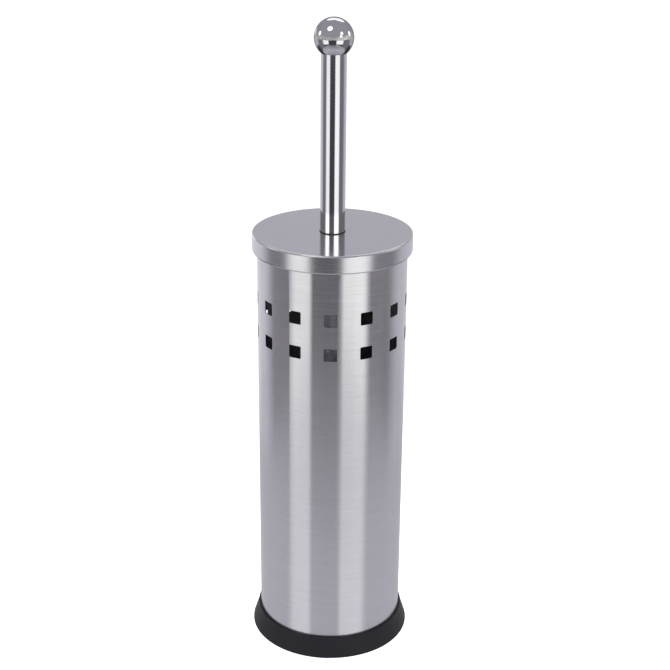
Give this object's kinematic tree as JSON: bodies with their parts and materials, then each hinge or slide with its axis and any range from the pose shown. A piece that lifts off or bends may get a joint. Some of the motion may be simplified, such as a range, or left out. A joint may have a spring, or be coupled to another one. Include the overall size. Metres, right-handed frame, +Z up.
{
  "type": "toilet brush holder",
  "caption": "Perforated round steel canister on a flared black plastic base, with a drip cup and a toilet brush whose tube handle carries the lid and a ball knob.",
  "frame": {"origin": "centre of the base's foot, on the floor", "axes": "+Z up along the axis of the canister and the handle; -Y is the front, which one column of holes faces; +Y is midway between two columns"},
  "size_m": [0.0956, 0.0956, 0.3752],
  "materials": {
    "black_plastic": "satin moulded polypropylene",
    "brushed_shell": "stainless steel brushed round the can",
    "grey_plastic": "smooth moulded polypropylene",
    "brushed_lid": "stainless steel, fine circular brushing",
    "black_nylon": "satin nylon",
    "polished_tube": "polished stainless steel",
    "turned_aluminium": "as turned",
    "zinc_stud": "zinc-plated steel",
    "chromed_ball": "mirror-polished chrome",
    "white_coating": "white epoxy coating on a steel tube",
    "white_plastic": "satin moulded polypropylene",
    "white_bristle": "nylon filament"
  },
  "bodies": {
    "holder": {"canister_shell": "brushed_shell", "base_cap": "black_plastic"},
    "drip_cup": {"drip_cup": "grey_plastic"},
    "lid": {"lid_cap": "brushed_lid", "lid_bush": "black_nylon", "bush_retainer": "black_nylon"},
    "brush": {"handle_tube": "polished_tube", "handle_foot_plug": "turned_aluminium", "handle_top_plug": "turned_aluminium", "ball_stud": "zinc_stud", "ball_knob": "chromed_ball", "tie_stud": "zinc_stud", "brush_rod": "white_coating", "rod_top_plug": "turned_aluminium", "rod_foot_plug": "turned_aluminium", "head_stud": "zinc_stud", "brush_hub": "white_plastic", "bristle_row_1": "white_bristle", "bristle_row_2": "white_bristle", "bristle_row_3": "white_bristle", "bristle_row_4": "white_bristle", "bristle_row_5": "white_bristle", "bristle_row_6": "white_bristle", "bristle_row_7": "white_bristle", "bristle_row_8": "white_bristle", "bristle_skirt_row": "white_bristle", "bristle_end_tufts": "white_bristle"}
  },
  "joints": [
    {"name": "drip_cup_lift", "type": "slide", "parent": "holder", "child": "drip_cup", "axis": [0, 0, 1], "range_m": [0, 0.27]},
    {"name": "brush_lift", "type": "slide", "parent": "drip_cup", "child": "lid", "axis": [0, 0, 1], "range_m": [0, 0.26]},
    {"name": "brush_turn", "type": "hinge", "parent": "lid", "child": "brush", "pos_m": [0, 0, 0.2549], "axis": [0, 0, 1], "continuous": true}
  ]
}
